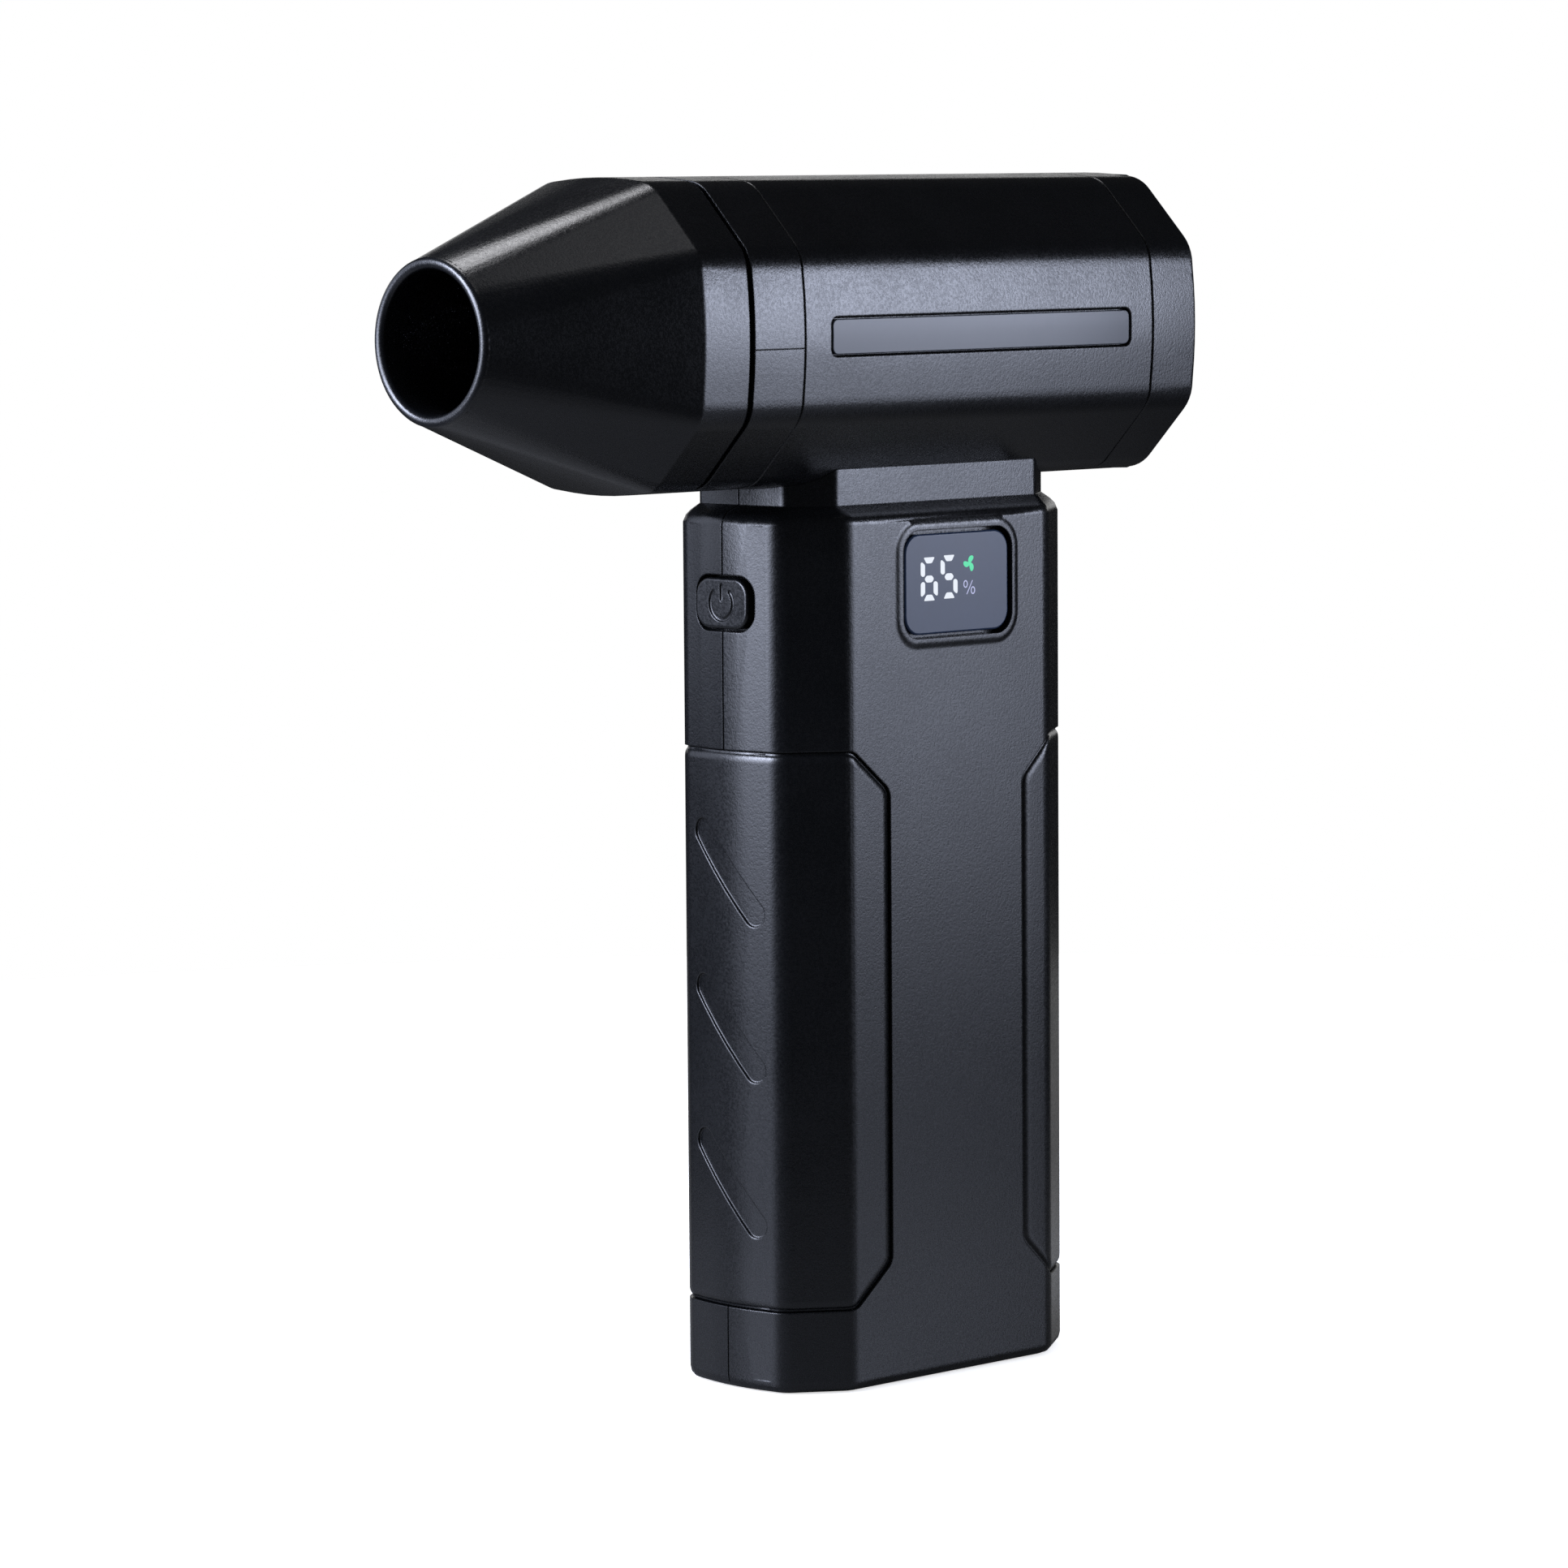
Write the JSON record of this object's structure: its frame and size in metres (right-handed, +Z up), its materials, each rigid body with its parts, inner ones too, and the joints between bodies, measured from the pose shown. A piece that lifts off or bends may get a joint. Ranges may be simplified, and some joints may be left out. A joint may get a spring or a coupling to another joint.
{
  "type": "car dryer blower",
  "caption": "Handheld cordless turbine blower for drying cars: octagonal head with a pull-off cone nozzle on a battery handle.",
  "frame": {"origin": "centre of the flat base of the handle", "axes": "+Z up the handle, -Y the way the nozzle blows, +X the side with the display"},
  "size_m": [0.0506, 0.1514, 0.2006],
  "materials": {
    "shell_plastic": "charcoal, fine spark texture, satin",
    "nozzle_plastic": "charcoal, fine spark texture, satin",
    "grip_plastic": "charcoal, fine spark texture, satin",
    "button_plastic": "charcoal, fine spark texture, satin",
    "strip_gloss": "smoky blue-grey, polished",
    "lens_gloss": "smoky blue-grey, polished",
    "rubber": "matte black",
    "screw_steel": "bright zinc",
    "magnet_steel": "ground",
    "screen_steel": "perforated, satin",
    "socket_steel": "drawn, satin",
    "link_nickel": "nickel strip",
    "fan_aluminium": "machined, satin",
    "nut_brass": "turned",
    "winding_copper": "enamelled",
    "duct_plastic": "moulded, satin",
    "holder_plastic": "moulded, satin",
    "part_black": "moulded",
    "plug_plastic": "moulded, ivory",
    "display_white": "moulded, white",
    "capacitor_sleeve": "shrink sleeve",
    "cell_wrap": "shrink wrap, plain blue",
    "board_green": "solder mask"
  },
  "bodies": {
    "housing": {"nozzle_seal": "rubber", "collar_upper": "shell_plastic", "collar_lower": "shell_plastic", "collar_screws": "screw_steel", "head_shell": "shell_plastic", "side_strip_right": "strip_gloss", "side_strip_left": "strip_gloss", "rear_cover": "shell_plastic", "intake_screen": "screen_steel", "fan_duct": "duct_plastic", "duct_gasket_front": "rubber", "duct_gasket_rear": "rubber", "stator_vanes": "fan_aluminium", "motor_stator": "winding_copper", "motor_cap": "fan_aluminium", "motor_bearings": "screw_steel", "tail_cone": "duct_plastic", "neck_screws": "screw_steel", "handle_shell_right": "shell_plastic", "handle_shell_left": "shell_plastic", "handle_screws": "screw_steel", "grip_front": "grip_plastic", "grip_rear": "grip_plastic", "display_lens": "lens_gloss", "display_module": "display_white", "display_board": "board_green", "tact_switch": "part_black", "switch_board": "board_green", "control_board": "board_green", "smoothing_capacitor": "capacitor_sleeve", "power_transistors": "part_black", "motor_plug": "plug_plastic", "battery_cells": "cell_wrap", "cell_holder_top": "holder_plastic", "cell_holder_bottom": "holder_plastic", "cell_links_top": "link_nickel", "cell_links_bottom": "link_nickel", "charge_board": "board_green", "usb_socket": "socket_steel"},
    "nozzle_unit": {"nozzle": "nozzle_plastic"},
    "button_unit": {"power_button": "button_plastic"},
    "rotor_unit": {"impeller": "fan_aluminium", "impeller_nut": "nut_brass", "motor_shaft": "screw_steel", "motor_rotor": "magnet_steel"}
  },
  "joints": [
    {"name": "nozzle_pull", "type": "slide", "parent": "housing", "child": "nozzle_unit", "axis": [0, -1, 0], "range_m": [0, 0.02]},
    {"name": "power_press", "type": "slide", "parent": "housing", "child": "button_unit", "axis": [0, 1, 0], "range_m": [0, 0.0008], "stiffness_N_per_m": 400},
    {"name": "impeller_spin", "type": "hinge", "parent": "housing", "child": "rotor_unit", "pos_m": [0, 0.0235, 0.17505], "axis": [0, -1, 0], "continuous": true}
  ]
}
